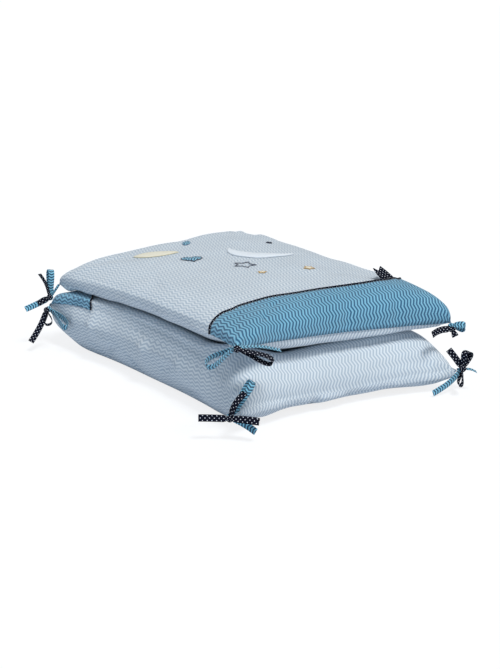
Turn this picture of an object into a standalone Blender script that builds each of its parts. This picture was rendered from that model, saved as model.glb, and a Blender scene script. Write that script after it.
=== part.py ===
"""Crib bumper: two padded panels stacked one on the other, with ribbon bows at their corners.

Frame: metres, +Z up, +X along the panels' short side, +Y along their long side. The origin is the
centre of the bounding box, on the surface that the lower pad rests on. Sizes below are in
millimetres and become metres when a mesh is made.
"""
import math

import bmesh
import bpy
import numpy as np
from mathutils import Matrix, Vector

MM = 0.001
SMALL = 0.001
GAP = 0.3

# ---- pads ----------------------------------------------------------------------------------
# Each pad is cut 420 x 600 flat and measures about 393 x 561 between its corners once filled.
# corners: x, y, height of the seam and crown above it, for front, right, back and left.
# drawn_in: how far the long and the short sides pull in at their middle, as a share of the half
# width. rise: how far the seam lifts at the middle of the left, right, near and far side.
# A face turns from the seam to its full height over `turn`, a share of the half width from the
# left, right, near and far side, on a quarter ellipse raised to the power `fullness`.
LOWER_PAD = dict(
    corners=((-217, -289, 43, 90), (174, -294, 34, 90), (150, 265, 54, 90), (-241, 270, 73, 90)),
    drawn_in=(0.08, 0.09),
    rise=(24, 6, -10, 0),
    rise_power=3.8,
    top_turn=(0.60, 0.60, 0.40, 0.40),
    top_fullness=1.0,
    under_turn=(0.20, 0.20, 0.42, 0.22),
    under_fullness=0.55,
)
UPPER_PAD = dict(
    corners=((-224, -293, 133, 34), (170, -279, 106, 71), (170, 283, 106, 74), (-224, 268, 106, 48)),
    drawn_in=(0.03, 0.08),
    rise=(12, 2, -2, 0),
    rise_power=2.0,
    top_turn=(0.90, 0.90, 0.22, 0.22),
    top_fullness=0.5,
    under_turn=(0.80, 0.80, 0.60, 0.60),
    under_fullness=1.5,
)
UPPER_BELLY = 64
# Where the pads press on each other: height at the middle, two slopes and a slight dome.
CONTACT_HEIGHT = 82
CONTACT_SLOPE = (0.01, 0.03)
CONTACT_DOME = (0.0001, 0.00005)
# They touch higher up along the left and the near side: by how much, and where along x or y that
# begins and is complete. The left lift falls off along the pad, by a slope and a bow.
LEFT_LIFT, NEAR_LIFT = (32, -100, -205), (26, -150, -260)
LEFT_SLOPE, LEFT_BOW = -0.035, -0.000115
# Their faces are bent there, so the upper pad keeps this much clear of the lower one.
LIFT_CLEARANCE = 3.2
LEFT_CLEAR, NEAR_CLEAR = (-80, -100), (-130, -150)
# The faces bend into that height over this length, which grows from the seam inwards.
CONTACT_BLEND = 20
CONTACT_BLEND_GROWTH = 3
# The upper pad lies on the lower one's panel and piping at the far end: how much higher its
# underside is there, and where along the pad that begins and is complete.
PANEL_BED = 3.6
PANEL_BED_FROM, PANEL_BED_TO = 125, 172

# ---- wave panel, piping and tab ------------------------------------------------------------
# The panel covers one short end. Its inner edge is a wave across the pad, from the left seam
# to the right one: across (u), along (v), both -1..1 from seam to seam.
PANEL_THICKNESS = 1.2
WAVE = ((-1, -0.745), (-0.7, -0.75), (-0.4, -0.785), (0, -0.832), (0.4, -0.84), (0.65, -0.81),
        (0.85, -0.72), (1, -0.565))
PIPING_RADIUS = 1.3
TAB_THICKNESS = 1.5
TAB_AT = 0.70
TAB_LEAN = 20.0
TAB_CLEARANCE = 2.0
# Outline of the tab: along the piping, away from it.
TAB_OUTLINE = ((-15, 0), (-24, 11), (-14, 14), (-24, 28), (-10, 20), (-1, 27), (6, 14), (15, 0))

# ---- mesh density --------------------------------------------------------------------------
ACROSS = 20
ALONG = 26
PANEL_ROWS = 6

# ---- ties ----------------------------------------------------------------------------------
RIBBON_WIDTH = 9.5
RIBBON_THICKNESS = 1.2
RIBBON_PINCH = 4.4
PINCH_LENGTH = 10.0
KNOT_RADII = (3.5, 5.2, 5.0)
LOOP_STEPS = 12
END_STEPS = 6
BURIED = 2.0
# One bow for each corner: the pad and corner it is sewn to, the place of its knot from that
# corner and the way it faces (x, y, z). Then a row for each strand that leaves the knot:
# colour, kind, reach (x, y, z) from the knot to the tip, opening of the loop or sideways curl of
# the free end, and the roll of the ribbon's flat face in degrees.
BOWS = {
    "upper_front": (UPPER_PAD, 0, (-5, -8, 4), (-0.55, -0.83, 0.0), 1.5, (
        ("blue", "loop", (-46, 5, -20), 15, 27),
        ("blue", "end", (53, -27, -6), 4, 85),
        ("navy", "loop", (37, -32, -17), 12, 73),
    )),
    "lower_front": (LOWER_PAD, 0, (-19, -4, -7), (-0.55, -0.83, 0.0), 0.5, (
        ("blue", "loop", (29, -12, 50), 12, -5),
        ("blue", "end", (27, -24, -20), -5, 8),
        ("navy", "end", (-36, 24, 1), 4, -16),
        ("navy", "end", (18, -11, 38), 6, 45),
        ("navy", "loop", (30, -28, -2), 6, 29),
    )),
    "upper_right": (UPPER_PAD, 1, (-7, -10, -1), (-0.30, -0.75, -0.60), 1.6, (
        ("blue", "loop", (18, -12, -3), 15, 44),
        ("navy", "end", (-42, -4, -1), 5, -11),
        ("navy", "end", (3, -7, -13), 0, 22),
    )),
    "lower_right": (LOWER_PAD, 1, (5, -7, 3), (-0.56, -0.77, 0.30), 0.5, (
        ("blue", "end", (18, -12, -5), 2, 89),
        ("blue", "end", (-56, 1, -30), -6, 0),
        ("navy", "loop", (10, 0, 26), 24, 66),
        ("navy", "end", (-9, 24, 26), 3, -22),
        ("navy", "loop", (-20, -17, -28), 12, -11),
    )),
    "upper_left": (UPPER_PAD, 3, (-18, -2, -20), (-0.50, -0.80, 0.30), 0.5, (
        ("blue", "loop", (7, 11, 45), 14, 66),
        ("blue", "end", (-40, 14, -18), 4, -20),
        ("navy", "end", (-11, 13, 39), 3, 34),
        ("navy", "end", (-19, 6, -10), 2, 9),
    )),
    "lower_left": (LOWER_PAD, 3, (-11, -18, -3), (-0.75, -0.50, 0.0), 2.6, (
        ("blue", "loop", (5, -54, -20), 12, -5),
        ("navy", "end", (-30, 2, -51), 4, -28),
        ("navy", "loop", (-5, -15, -21), 12, -6),
    )),
    "upper_back": (UPPER_PAD, 2, (6, 7, -2), (0.60, 0.80, 0.0), 0.5, (
        ("blue", "loop", (27, -21, 6), 15, 40),
        ("blue", "end", (-28, 24, -24), 4, 60),
        ("navy", "loop", (-24, 20, 16), 12, 40),
        ("navy", "end", (12, -8, -36), 4, 90),
    )),
    "lower_back": (LOWER_PAD, 2, (6, 7, -2), (0.60, 0.80, 0.0), 1.4, (
        ("blue", "loop", (26, -20, 8), 14, 40),
        ("blue", "end", (-28, 24, -24), 4, 60),
        ("navy", "loop", (-22, 22, 14), 12, 40),
        ("navy", "end", (13, -8, -34), 4, 90),
    )),
}

# The shift that brings the bounding box's centre to the origin.
STACK_CENTRE = (-42.63, -11.23)

COLOURS = {
    "light": (0.62, 0.70, 0.80),
    "blue": (0.12, 0.40, 0.55),
    "navy": (0.012, 0.014, 0.035),
}
ROUGHNESS = 0.75


# ---- shape of a pad ------------------------------------------------------------------------
def mix_corners(values, u, v):
    """Value at (u, v) mixed from the corners front, right, back and left."""
    front, right, back, left = values
    return (front * (1 - u) * (1 - v) + right * (1 + u) * (1 - v)
            + back * (1 + u) * (1 + v) + left * (1 - u) * (1 + v)) / 4


def soft_max(a, b, blend):
    """The larger of a and b with a rounded join, never below either of them."""
    share = np.clip(0.5 + 0.5 * (a - b) / blend, 0, 1)
    return b * (1 - share) + a * share + blend * share * (1 - share)


def soft_min(a, b, blend):
    return -soft_max(-a, -b, blend)


def swell(u, v, turn, fullness):
    """0 on the seam and 1 inside the turn: a quarter ellipse from each side, multiplied."""
    left, right, near, far = turn
    across = np.clip((1 - np.abs(u)) / (((1 - u) * left + (1 + u) * right) / 2), 0, 1)
    along = np.clip((1 - np.abs(v)) / (((1 - v) * near + (1 + v) * far) / 2), 0, 1)
    ellipses = np.sqrt((1 - (1 - across) ** 2) * (1 - (1 - along) ** 2))
    return ellipses ** fullness


def smooth_ramp(value, start, end):
    """A smooth rise from 0 at start to 1 at end."""
    share = np.clip((value - start) / (end - start), 0, 1)
    return share * share * (3 - 2 * share)


def contact_height(x, y):
    """Height of the face where the pads touch: a tilted, slightly domed plane, lifted along two
    sides."""
    return (CONTACT_HEIGHT + CONTACT_SLOPE[0] * x + CONTACT_SLOPE[1] * y
            - CONTACT_DOME[0] * x * x - CONTACT_DOME[1] * y * y
            + (LEFT_LIFT[0] + LEFT_SLOPE * y + LEFT_BOW * y * y) * smooth_ramp(x, *LEFT_LIFT[1:])
            + NEAR_LIFT[0] * smooth_ramp(y, *NEAR_LIFT[1:]))


def pad_faces(pad, u, v):
    """Points of a pad's top and underside at (u, v), both -1..1 from seam to seam."""
    xs, ys, seams, crowns = zip(*pad["corners"])
    drawn_u = u * (1 - pad["drawn_in"][0] * (1 - v * v))
    drawn_v = v * (1 - pad["drawn_in"][1] * (1 - u * u))
    x = mix_corners(xs, drawn_u, drawn_v)
    y = mix_corners(ys, drawn_u, drawn_v)
    left, right, near, far = pad["rise"]
    seam = (mix_corners(seams, u, v)
            + (1 - np.abs(v) ** pad["rise_power"]) * ((1 - u) * left + (1 + u) * right) / 2
            + (1 - u * u) * ((1 - v) * near + (1 + v) * far) / 2)
    top_swell = swell(u, v, pad["top_turn"], pad["top_fullness"])
    under_swell = swell(u, v, pad["under_turn"], pad["under_fullness"])
    top = seam + mix_corners(crowns, u, v) * top_swell
    contact = contact_height(x, y)
    if pad is LOWER_PAD:
        blend = CONTACT_BLEND * np.clip(CONTACT_BLEND_GROWTH * top_swell, SMALL, 1)
        top = np.maximum(soft_min(top, contact - GAP / 2, blend), seam)
        under = seam * (1 - under_swell)
    else:
        lifted = np.maximum(smooth_ramp(x, *LEFT_CLEAR), smooth_ramp(y, *NEAR_CLEAR))
        bed = (contact + GAP + LIFT_CLEARANCE * lifted
               + PANEL_BED * smooth_ramp(y, PANEL_BED_FROM, PANEL_BED_TO))
        blend = CONTACT_BLEND * np.clip(CONTACT_BLEND_GROWTH * under_swell, SMALL, 1)
        under = soft_max(seam - UPPER_BELLY * under_swell, bed, blend)
        under = np.minimum(under, seam)
    return np.stack([x, y, top], -1), np.stack([x, y, under], -1)


def wave(u):
    """v of the wave panel's inner edge."""
    across, along = zip(*WAVE)
    return np.interp(u, across, along)


def pad_grid(pad):
    """u and v of a pad's grid: close together near the seam, with one row along the wave.

    The lower pad is the upper one turned half round, so its wave lies at the other end.
    """
    u = np.sin(np.linspace(-1, 1, ACROSS + 1) * math.pi / 2)[:, None]
    row_of_wave = np.arcsin(wave(u)) * 2 / math.pi
    near = np.linspace(0, 1, PANEL_ROWS + 1)
    far = np.linspace(0, 1, ALONG - PANEL_ROWS + 1)[1:]
    rows = np.concatenate([(row_of_wave + 1) * near - 1, row_of_wave + (1 - row_of_wave) * far], 1)
    v = np.sin(rows * math.pi / 2)
    u = np.broadcast_to(u, v.shape)
    if pad is LOWER_PAD:
        return -u[::-1, ::-1], -v[::-1, ::-1]
    return u, v


def outward(points):
    """Unit normals of a grid of points, upwards."""
    normal = np.cross(np.gradient(points, axis=0), np.gradient(points, axis=1))
    return normal / np.linalg.norm(normal, axis=-1, keepdims=True)


# ---- making objects ------------------------------------------------------------------------
def clear_scene():
    for obj in list(bpy.data.objects):
        bpy.data.objects.remove(obj)


def new_collection(name):
    collection = bpy.data.collections.new(name)
    bpy.context.scene.collection.children.link(collection)
    return collection


def cloth_material(node, colour):
    material = bpy.data.materials.new(node)
    material.use_nodes = True
    shader = material.node_tree.nodes["Principled BSDF"]
    shader.inputs["Base Color"].default_value = (*COLOURS[colour], 1)
    shader.inputs["Roughness"].default_value = ROUGHNESS
    shader.inputs["Metallic"].default_value = 0.0
    return material


def add_object(node, data, collection, colour=None):
    obj = bpy.data.objects.new(node, data)
    collection.objects.link(obj)
    if colour:
        data.materials.append(cloth_material(node, colour))
    return obj


def mesh_from(bm, name):
    mesh = bpy.data.meshes.new(name)
    bm.to_mesh(mesh)
    bm.free()
    mesh.shade_smooth()
    return mesh


def add_sheet(bm, points, facing_up=True):
    """Lays a grid of triangles through points[i, j] in millimetres.

    The diagonals run toward the pad's corners, so that none of them cuts a corner off.
    """
    across, along = points.shape[0] - 1, points.shape[1] - 1
    made = bmesh.ops.create_grid(bm, x_segments=across, y_segments=along, size=1.0)["verts"]
    faces = list({face for vert in made for face in vert.link_faces})
    leaning = {"FIXED": [], "ALTERNATE": []}
    for face in faces:
        middle = face.calc_center_median()
        i, j = (middle.x + 1) / 2 * across, (middle.y + 1) / 2 * along
        same_side = (i < ACROSS / 2) == (j < ALONG / 2)
        leaning["FIXED" if same_side else "ALTERNATE"].append(face)
    for vert in made:
        i = round((vert.co.x + 1) / 2 * across)
        j = round((vert.co.y + 1) / 2 * along)
        vert.co = points[i, j] * MM
    triangles = []
    for method, group in leaning.items():
        triangles += bmesh.ops.triangulate(bm, faces=group, quad_method=method)["faces"]
    if not facing_up:
        bmesh.ops.reverse_faces(bm, faces=triangles)


def build_pad(node, pad, collection):
    """A filled pad: its top and its underside, joined along the seam."""
    top, under = pad_faces(pad, *pad_grid(pad))
    bm = bmesh.new()
    add_sheet(bm, top + shift())
    add_sheet(bm, under + shift(), facing_up=False)
    bmesh.ops.remove_doubles(bm, verts=bm.verts, dist=SMALL * MM)
    return add_object(node, mesh_from(bm, node), collection, "light")


def shift():
    return -np.array([*STACK_CENTRE, 0.0])


def panel_rows(pad):
    """The rows of the pad's grid under its wave panel, from the seam to the wave, and beyond."""
    top, _ = pad_faces(pad, *pad_grid(pad))
    normal = outward(top)
    if pad is LOWER_PAD:
        return top[::-1, ::-1] + shift(), normal[::-1, ::-1]
    return top + shift(), normal


def build_panel(node, pad, collection):
    """The wave panel: a cloth sheet that lies on the pad's end."""
    top, normal = panel_rows(pad)
    sheet = (top + normal * GAP)[:, :PANEL_ROWS + 1]
    bm = bmesh.new()
    add_sheet(bm, sheet)
    panel = add_object(node, mesh_from(bm, node), collection, "blue")
    thicken(panel, PANEL_THICKNESS, 1)
    return panel


def thicken(obj, thickness, side):
    solidify = obj.modifiers.new("cloth thickness", "SOLIDIFY")
    solidify.thickness = thickness * MM
    solidify.offset = side


def piping_line(pad):
    """Centre line of the piping: along the wave, just past the panel's edge."""
    top, normal = panel_rows(pad)
    edge, beyond = top[:, PANEL_ROWS], top[:, PANEL_ROWS + 1]
    step = (beyond - edge) / np.linalg.norm(beyond - edge, axis=1, keepdims=True)
    lift = normal[:, PANEL_ROWS] * (PIPING_RADIUS + 4 * GAP)
    return edge + step * (PIPING_RADIUS + 4 * GAP) + lift


def build_piping(node, pad, collection):
    line = piping_line(pad)
    curve = bpy.data.curves.new(node, "CURVE")
    curve.dimensions = "3D"
    curve.bevel_depth = PIPING_RADIUS * MM
    curve.bevel_resolution = 2
    curve.use_fill_caps = True
    spline = curve.splines.new("POLY")
    spline.points.add(len(line) - 1)
    spline.points.foreach_set("co", np.c_[line * MM, np.ones(len(line))].ravel())
    return add_object(node, curve, collection, "navy")


def build_tab(node, pad, collection):
    """The dotted cloth tab, caught under the piping and leaning up from the pad."""
    line = piping_line(pad)
    _, normals = panel_rows(pad)
    at = round(TAB_AT * ACROSS)
    along = Vector(line[at + 1] - line[at - 1]).normalized()
    normal = Vector(normals[at, PANEL_ROWS + 1])
    away = normal.cross(along).normalized()
    lean = math.radians(TAB_LEAN)
    rising = away * math.cos(lean) + normal * math.sin(lean)
    clear = PIPING_RADIUS + TAB_CLEARANCE
    foot = Vector(line[at]) + away * clear + normal * (TAB_THICKNESS / 2)
    curve = bpy.data.curves.new(node, "CURVE")
    curve.dimensions = "2D"
    curve.fill_mode = "BOTH"
    curve.extrude = TAB_THICKNESS / 2 * MM
    spline = curve.splines.new("POLY")
    spline.points.add(len(TAB_OUTLINE) - 1)
    for point, (x, y) in zip(spline.points, TAB_OUTLINE):
        point.co = (x * MM, y * MM, 0, 1)
    spline.use_cyclic_u = True
    tab = add_object(node, curve, collection, "navy")
    tab.matrix_world = frame_matrix(foot * MM, along, rising)
    return tab


def frame_matrix(origin, x_axis, y_axis):
    """The matrix that puts a local origin, X and Y axis at the given place."""
    z_axis = x_axis.cross(y_axis).normalized()
    y_axis = z_axis.cross(x_axis)
    return Matrix.Translation(origin) @ Matrix((x_axis, y_axis, z_axis)).transposed().to_4x4()


# ---- ties ----------------------------------------------------------------------------------
def unit(vector):
    return np.asarray(vector, float) / np.linalg.norm(vector)


def strand_directions(reach, roll):
    """Unit directions of a strand: where it opens or curls, and along its ribbon's width."""
    side = unit(np.cross(reach, (0, 0, 1)))
    lift = np.cross(side, unit(reach))
    turn = math.radians(roll)
    return (side * math.cos(turn) + lift * math.sin(turn),
            lift * math.cos(turn) - side * math.sin(turn))


def strand_path(axis, kind, reach, opening, roll):
    """Centre line of a strand from the middle of its knot, and its width direction.

    It leaves across the knot's axis, so that it passes clear of the other ribbon's knot. A loop
    runs out and back; a free end curls once.
    """
    reach = np.array(reach, float)
    opens, width = strand_directions(reach, roll)
    start = BURIED / np.linalg.norm(reach)
    if kind == "loop":
        first = math.asin(start) / math.pi
        t = np.linspace(first, 1 - first, LOOP_STEPS + 1)
        out, sideways = np.sin(math.pi * t), np.sin(2 * math.pi * t) / 2
    else:
        t = np.linspace(0, 1, END_STEPS + 1)
        out, sideways = start * (1 - t) + t, np.sin(math.pi * t)
    along_axis = np.dot(reach, axis)
    path = (np.outer(out, reach - axis * along_axis) + np.outer(out ** 2, axis * along_axis)
            + np.outer(sideways, opens * opening))
    return path, width


def ribbon_points(path, width, pinched=False):
    """The two long edges of a ribbon along a path; it is pinched where it enters the knot."""
    along = np.gradient(path, axis=0)
    along /= np.linalg.norm(along, axis=1, keepdims=True)
    width = width - along * (along @ width)[:, None]
    width /= np.linalg.norm(width, axis=1, keepdims=True)
    free = np.clip(np.linalg.norm(path, axis=1) / PINCH_LENGTH, 0, 0 if pinched else 1)
    half = (RIBBON_PINCH + (RIBBON_WIDTH - RIBBON_PINCH) * free[:, None]) / 2
    return np.stack([path - width * half, path + width * half])


def build_tie(node, knot, axis, strands, collection, guides):
    """One ribbon of a bow: its part of the knot, joined with its loops and free ends."""
    bm = bmesh.new()
    for strand in strands:
        add_sheet(bm, ribbon_points(*strand) + knot)
    strips = add_object(node + "_strands", mesh_from(bm, node + "_strands"), guides)
    thicken(strips, RIBBON_THICKNESS, 0)

    bm = bmesh.new()
    bmesh.ops.create_uvsphere(bm, u_segments=10, v_segments=6, radius=1.0)
    across = unit(np.cross(axis, (0, 0, 1)))
    turn = Matrix((axis, across, np.cross(axis, across))).transposed().to_4x4()
    stretch = Matrix.Diagonal((*(Vector(KNOT_RADII) * MM), 1))
    bmesh.ops.transform(bm, matrix=Matrix.Translation(Vector(knot) * MM) @ turn @ stretch,
                        verts=bm.verts)
    tie = add_object(node, mesh_from(bm, node), collection, node.split("_")[1])
    join = tie.modifiers.new("loops and free ends", "BOOLEAN")
    join.operation = "UNION"
    join.solver = "EXACT"
    join.use_self = True
    join.object = strips
    return tie


def build_bow(name, collection, guides):
    """The two ribbons at a corner, blue next to the pad and navy beyond it."""
    pad, corner, offset, axis, corner_gap, rows = BOWS[name]
    axis = unit(axis)
    x, y, seam, _ = pad["corners"][corner]
    blue_knot = np.array([x, y, seam]) + offset + shift()
    navy_knot = blue_knot + axis * (2 * KNOT_RADII[0] + GAP)
    for colour, knot in (("blue", blue_knot), ("navy", navy_knot)):
        strands = [strand_path(axis, *row[1:]) for row in rows if row[0] == colour]
        if colour == "blue":
            strands.append(lead(offset, corner_gap))
        build_tie(f"tie_{colour}_{name}", knot, axis, strands, collection, guides)


def lead(offset, corner_gap):
    """The short pinched piece of ribbon between the knot and the seam at the pad's corner."""
    length = np.linalg.norm(offset)
    reach = -np.array(offset) * (1 - corner_gap / length)
    t = np.linspace(BURIED / length, 1, 3)
    return np.outer(t, reach), strand_directions(reach, 0)[1], True


# ---- assembly ------------------------------------------------------------------------------
def build():
    clear_scene()
    parts = new_collection("crib_bumper")
    guides = new_collection("guides")
    for level, pad in (("lower", LOWER_PAD), ("upper", UPPER_PAD)):
        build_pad("pad_" + level, pad, parts)
        build_panel("wave_panel_" + level, pad, parts)
        build_piping("piping_" + level, pad, parts)
    build_tab("dotted_tab", UPPER_PAD, parts)
    for name in BOWS:
        build_bow(name, parts, guides)
    for guide in guides.objects:
        guide.hide_render = True
        guide.display_type = "WIRE"


build()
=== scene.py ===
# %% [markdown]
# # A crib bumper of two stacked pads
#
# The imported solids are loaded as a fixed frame. Each soft solid is then replaced by a finer piece
# of the same form: the pads with their puckered seams and folds, the blue wave panels, the dotted
# piping and tab, the ribbon bows. A set of sewn-on motifs is added. Lengths in the tables are in
# millimetres, in the frame of the solids: +Z up, +X across the pads, +Y along them.

# %% Load the frame
from math import asin, cos, pi, radians, sin

import bmesh
import bpy
import numpy as np
from mathutils import Matrix, Vector


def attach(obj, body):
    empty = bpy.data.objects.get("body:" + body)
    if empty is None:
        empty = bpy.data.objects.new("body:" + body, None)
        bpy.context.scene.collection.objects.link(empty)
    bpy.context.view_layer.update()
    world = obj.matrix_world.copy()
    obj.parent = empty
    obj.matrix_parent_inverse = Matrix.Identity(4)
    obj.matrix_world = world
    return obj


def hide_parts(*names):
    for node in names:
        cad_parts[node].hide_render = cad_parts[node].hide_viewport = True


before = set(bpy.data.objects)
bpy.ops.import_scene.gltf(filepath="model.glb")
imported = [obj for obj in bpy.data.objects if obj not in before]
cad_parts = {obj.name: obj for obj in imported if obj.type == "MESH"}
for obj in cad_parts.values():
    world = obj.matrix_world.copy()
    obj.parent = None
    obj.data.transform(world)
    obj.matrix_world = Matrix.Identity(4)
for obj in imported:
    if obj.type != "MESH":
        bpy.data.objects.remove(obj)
scene = bpy.context.scene
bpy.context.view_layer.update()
MM = 0.001


def link(name, data):
    """A new object in the scene."""
    obj = bpy.data.objects.new(name, data)
    scene.collection.objects.link(obj)
    return obj


# %% [markdown]
# ## Camera, light and floor
#
# The camera was fitted to the eight seam corners of the pads. With heading a and pitch e it looks
# along f = (sin a cos e, cos a cos e, -sin e). The real object stood in plain studio light and was
# cut out on white, so the light is one large soft lamp in front, a weak blue one from the left and
# a pale sky. The floor takes the shadow, but looks nearly white to the camera.

# %% Camera
HEADING, PITCH = radians(33), radians(16)
DISTANCE = 2.3
FOCAL_PX, HEIGHT_PX, SENSOR = 1400, 669, 36
# Where the camera's middle ray passes the floor point under the stack, in pixels from it.
OFF_CENTRE = (6.5, -27.5)
STACK_CENTRE = (42.63, 11.23)

forward = np.array([sin(HEADING) * cos(PITCH),
                    cos(HEADING) * cos(PITCH), -sin(PITCH)])
right = np.array([cos(HEADING), -sin(HEADING), 0])
up = np.cross(right, forward)
place = -DISTANCE * (forward + OFF_CENTRE[0] / FOCAL_PX * right + OFF_CENTRE[1] / FOCAL_PX * up)
place += np.array([*STACK_CENTRE, 0]) * MM

camera = link("camera", bpy.data.cameras.new("camera"))
camera.data.sensor_fit = "VERTICAL"
camera.data.sensor_height = SENSOR
camera.data.lens = FOCAL_PX / HEIGHT_PX * SENSOR
turn = Matrix((right, up, -forward)).transposed().to_4x4()
turn.translation = place
camera.matrix_world = turn
scene.camera = camera
print("camera at", place.round(3), "lens", round(camera.data.lens, 1))

# %% Lights and floor
SKY = (0.86, 0.925, 1.0), 0.40
# The floor's half side in metres, its colour, how white the camera sees it and how bright that is
FLOOR_SIZE, FLOOR_SHADE, FLOOR_WHITE, FLOOR_GLOW = 30.0, (0.66, 0.70, 0.76), 0.72, 1.14
# name, direction that the light comes from, strength, how wide it looks, colour
LAMPS = [
    ("key", (-0.04, -0.40, 0.62), 2.46, radians(15), (1.0, 0.985, 0.95)),
    ("fill", (-0.80, -0.50, 0.10), 0.28, radians(30), (0.22, 0.62, 1.0)),
]


def link_view(tree, output, lighting, plain, share):
    """Feed an output: the camera sees the plain shader, by share; all other light the first."""
    seen, mix = tree.nodes.new("ShaderNodeLightPath"), tree.nodes.new("ShaderNodeMixShader")
    factor = tree.nodes.new("ShaderNodeMath")
    factor.operation, factor.inputs[1].default_value = "MULTIPLY", share
    tree.links.new(seen.outputs["Is Camera Ray"], factor.inputs[0])
    for socket, source in enumerate((factor, lighting, plain)):
        tree.links.new(source.outputs[0], mix.inputs[socket])
    tree.links.new(mix.outputs[0], output.inputs["Surface"])


def add_lights():
    for name, direction, strength, spread, colour in LAMPS:
        sun = bpy.data.lights.new(name, "SUN")
        sun.energy, sun.angle, sun.color = strength, spread, colour
        link(name, sun).rotation_euler = Vector(direction).to_track_quat("Z", "Y").to_euler()
    world = bpy.data.worlds.new("studio")
    world.use_nodes = True
    nodes = world.node_tree.nodes
    lighting, white = nodes["Background"], nodes.new("ShaderNodeBackground")
    lighting.inputs["Color"].default_value = (*SKY[0], 1)
    lighting.inputs["Strength"].default_value = SKY[1]
    white.inputs["Color"].default_value = (1, 1, 1, 1)
    link_view(world.node_tree, nodes["World Output"], lighting, white, 1.0)
    scene.world = world


def add_floor():
    corners = [(x * FLOOR_SIZE, y * FLOOR_SIZE, 0) for x, y in ((-1, -1), (1, -1), (1, 1), (-1, 1))]
    mesh = bpy.data.meshes.new("floor")
    mesh.from_pydata(corners, [], [(0, 1, 2, 3)])
    floor = link("floor", mesh)
    material = bpy.data.materials.new("floor")
    material.use_nodes = True
    nodes = material.node_tree.nodes
    lit, white = nodes["Principled BSDF"], nodes.new("ShaderNodeEmission")
    lit.inputs["Base Color"].default_value = (*FLOOR_SHADE, 1)
    lit.inputs["Roughness"].default_value = 0.9
    lit.inputs["Specular IOR Level"].default_value = 0.0
    white.inputs["Strength"].default_value = FLOOR_GLOW
    link_view(material.node_tree, nodes["Material Output"], lit, white, FLOOR_WHITE)
    mesh.materials.append(material)


add_lights()
add_floor()
scene.view_settings.view_transform = "Standard"
print("lamps", [row[0] for row in LAMPS])

# %% [markdown]
# ## The form of a pad
#
# u and v run -1..1 from seam to seam, across and along a pad. With the seam's height s(u, v), the
# crown c and the swell w = (q(u) q(v))^p, q(x) = sqrt(1 - (1 - min(1, (1 - |x|) / turn))^2),
# the top is s + c w and the underside falls from s to the floor or to the other pad.

# %% Pad tables
# Corners are front left, front right, back right, back left, each (x, y, seam's height, crown).
# Turns are for the left, right, near and far side, and so is the seam's rise midway along them.
LOWER = dict(
    corners=((-217, -289, 43, 90), (174, -294, 34, 90), (150, 265, 54, 90), (-241, 270, 73, 90)),
    drawn_in=(0.08, 0.09),
    rise=(24, 6, -10, 0),
    rise_power=3.8,
    top_turn=(0.60, 0.60, 0.40, 0.40),
    top_fullness=1.0,
    under_turn=(0.20, 0.20, 0.42, 0.22),
    under_fullness=0.55,
)
UPPER = dict(
    corners=((-224, -293, 133, 34), (170, -279, 106, 71), (170, 283, 106, 74),
             (-224, 268, 106, 48)),
    drawn_in=(0.03, 0.08),
    rise=(12, 2, -2, 0),
    rise_power=2.0,
    top_turn=(0.90, 0.90, 0.22, 0.22),
    top_fullness=0.5,
    under_turn=(0.80, 0.80, 0.60, 0.60),
    under_fullness=1.5,
)
UPPER_BELLY = 64
# The pads stay this far apart. Their wrinkles fade within PRESS_FADE of the contact, to PRESS_LEFT.
GAP, PRESS_FADE, PRESS_LEFT = 0.3, 8, 0.1
CONTACT_HEIGHT, CONTACT_SLOPE, CONTACT_DOME = 82, (0.01, 0.03), (0.0001, 0.00005)
CONTACT_BLEND, CONTACT_BLEND_GROWTH, SMALL = 20, 3, 0.001
# Along the left and near sides the pads touch higher up: by how much, from where and to where.
LEFT_LIFT, NEAR_LIFT = (32, -100, -205), (26, -150, -260)
LEFT_SLOPE, LEFT_BOW = -0.035, -0.000115
# The upper pad's underside keeps this much clear there, and above the lower pad's panel.
LIFT_CLEARANCE, LEFT_CLEAR, NEAR_CLEAR = 0.2, (-80, -100), (-130, -150)
PANEL_BED, PANEL_BED_FROM, PANEL_BED_TO = 3.6, 125, 172
WAVE = ((-1, -0.745), (-0.7, -0.75), (-0.4, -0.785), (0, -0.832), (0.4, -0.84), (0.65, -0.81),
        (0.85, -0.72), (1, -0.565))
# Cells of a pad's grid
ACROSS, ALONG = 130, 184
print("seam corners of the upper pad", [row[:3] for row in UPPER["corners"]])

# %% Swell and contact


def mix_corners(values, u, v):
    front, right_, back, left = values
    return (front * (1 - u) * (1 - v) + right_ * (1 + u) * (1 - v)
            + back * (1 + u) * (1 + v) + left * (1 - u) * (1 + v)) / 4


def soft_max(a, b, blend):
    """The larger of a and b with a rounded join, never below either of them."""
    share = np.clip(0.5 + 0.5 * (a - b) / blend, 0, 1)
    return b * (1 - share) + a * share + blend * share * (1 - share)


def swell(u, v, turns, fullness):
    left, right_, near, far = turns
    across = np.clip((1 - np.abs(u)) / (((1 - u) * left + (1 + u) * right_) / 2), 0, 1)
    along = np.clip((1 - np.abs(v)) / (((1 - v) * near + (1 + v) * far) / 2), 0, 1)
    return np.sqrt((1 - (1 - across) ** 2) * (1 - (1 - along) ** 2)) ** fullness


def smooth_ramp(value, start, end):
    """A smooth rise from 0 at start to 1 at end."""
    share = np.clip((value - start) / (end - start), 0, 1)
    return share * share * (3 - 2 * share)


def contact_height(x, y):
    """Height of the face where the pads touch: a tilted, slightly domed plane, lifted at two
    sides."""
    return (CONTACT_HEIGHT + CONTACT_SLOPE[0] * x + CONTACT_SLOPE[1] * y
            - CONTACT_DOME[0] * x * x - CONTACT_DOME[1] * y * y
            + (LEFT_LIFT[0] + LEFT_SLOPE * y + LEFT_BOW * y * y) * smooth_ramp(x, *LEFT_LIFT[1:])
            + NEAR_LIFT[0] * smooth_ramp(y, *NEAR_LIFT[1:]))


print("pads touch at", contact_height(0, 0), "mm in the middle")

# %% Faces of a pad


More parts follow.
